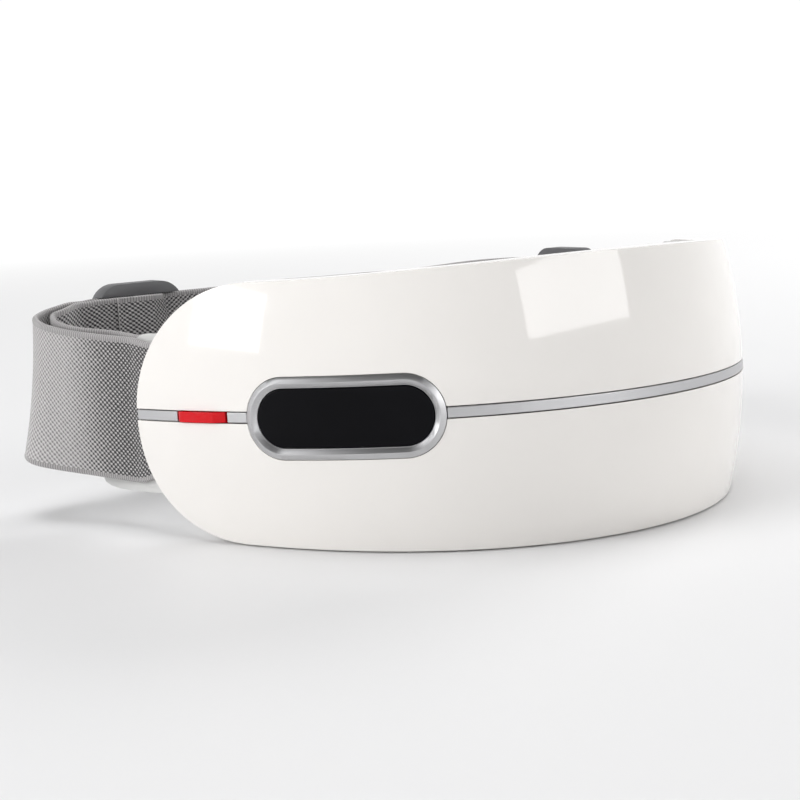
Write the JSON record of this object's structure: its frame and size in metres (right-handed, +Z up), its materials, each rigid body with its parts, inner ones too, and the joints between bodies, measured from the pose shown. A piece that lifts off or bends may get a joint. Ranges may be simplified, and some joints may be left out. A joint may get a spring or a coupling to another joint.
{
  "type": "eye massager mask",
  "caption": "Curved eye massager mask: two-part glossy front with a metal trim line, pill-shaped display, push button, padded rear housing and a woven elastic head strap with sliders.",
  "frame": {"origin": "middle of the footprint at table level, with the mask standing on its lower edge", "axes": "+X towards the wearer's left, +Y from the front of the mask towards the wearer, +Z up"},
  "size_m": [0.2262, 0.1888, 0.078],
  "materials": {
    "white_gloss": "warm white, polished",
    "satin_silver": "satin silver",
    "black_gloss": "glossy tinted black",
    "red_gloss": "glossy red",
    "pale_plastic": "pale grey, satin",
    "rear_plastic": "light grey, satin",
    "cushion_leather": "dark grey, fine grain",
    "eye_fabric": "dark grey knit",
    "elastic_webbing": "grey and black woven elastic",
    "dark_plastic": "dark grey, satin",
    "circuit_board": "green solder mask",
    "weight_metal": "bare",
    "heater_film": "amber film",
    "air_bladder": "translucent pale",
    "battery_foil": "foil",
    "tube_rubber": "soft pale",
    "steel": "plated"
  },
  "bodies": {
    "mask_body": {"air_bladder_left": "air_bladder", "air_bladder_right": "air_bladder", "air_tee": "dark_plastic", "air_tube_left": "tube_rubber", "air_tube_right": "tube_rubber", "air_valve": "steel", "battery_cell": "battery_foil", "charge_port": "steel", "display_bezel_trim": "satin_silver", "display_board": "circuit_board", "display_module": "dark_plastic", "display_window": "black_gloss", "eye_pad_left": "eye_fabric", "eye_pad_right": "eye_fabric", "face_cushion": "cushion_leather", "heater_film_left": "heater_film", "heater_film_right": "heater_film", "housing_screw_1": "steel", "housing_screw_2": "steel", "housing_screw_3": "steel", "housing_screw_4": "steel", "lower_front_shell": "white_gloss", "lug_screw_1": "steel", "lug_screw_2": "steel", "lug_screw_3": "steel", "lug_screw_4": "steel", "main_board": "circuit_board", "power_switch": "dark_plastic", "pump_head": "dark_plastic", "pump_motor": "steel", "rear_housing": "rear_plastic", "strap_band": "elastic_webbing", "strap_lug_left": "pale_plastic", "strap_lug_right": "pale_plastic", "switch_board": "circuit_board", "trim_tip": "satin_silver", "upper_front_shell": "white_gloss", "vibration_motor_left": "steel", "vibration_motor_right": "steel", "voice_speaker": "dark_plastic"},
    "button_body": {"power_button": "red_gloss"},
    "slider_right_body": {"strap_slider_right": "dark_plastic", "strap_tab_right": "elastic_webbing"},
    "slider_left_body": {"strap_slider_left": "dark_plastic", "strap_tab_left": "elastic_webbing"},
    "crank_body": {"pump_crank": "weight_metal"},
    "weight_right_body": {"vibration_weight_right": "weight_metal"},
    "weight_left_body": {"vibration_weight_left": "weight_metal"}
  },
  "joints": [
    {"name": "power_button_press", "type": "slide", "parent": "mask_body", "child": "button_body", "axis": [0.9394, 0.3428, 0], "range_m": [0, 0.0008], "stiffness_N_per_m": 1500},
    {"name": "slider_right_slide", "type": "slide", "parent": "mask_body", "child": "slider_right_body", "axis": [1, 0, 0], "range_m": [0, 0.045]},
    {"name": "slider_left_slide", "type": "slide", "parent": "mask_body", "child": "slider_left_body", "axis": [0, -1, 0], "range_m": [0, 0.009]},
    {"name": "pump_crank_spin", "type": "hinge", "parent": "mask_body", "child": "crank_body", "pos_m": [0.01001, -0.08169, 0.0532], "axis": [1, 0, 0], "continuous": true},
    {"name": "vibration_weight_right_spin", "type": "hinge", "parent": "mask_body", "child": "weight_right_body", "pos_m": [-0.03502, -0.07086, 0.0226], "axis": [0.7964, -0.6047, 0], "continuous": true},
    {"name": "vibration_weight_left_spin", "type": "hinge", "parent": "mask_body", "child": "weight_left_body", "pos_m": [0.05722, -0.0607, 0.0226], "axis": [0.7964, 0.6047, 0], "continuous": true}
  ]
}
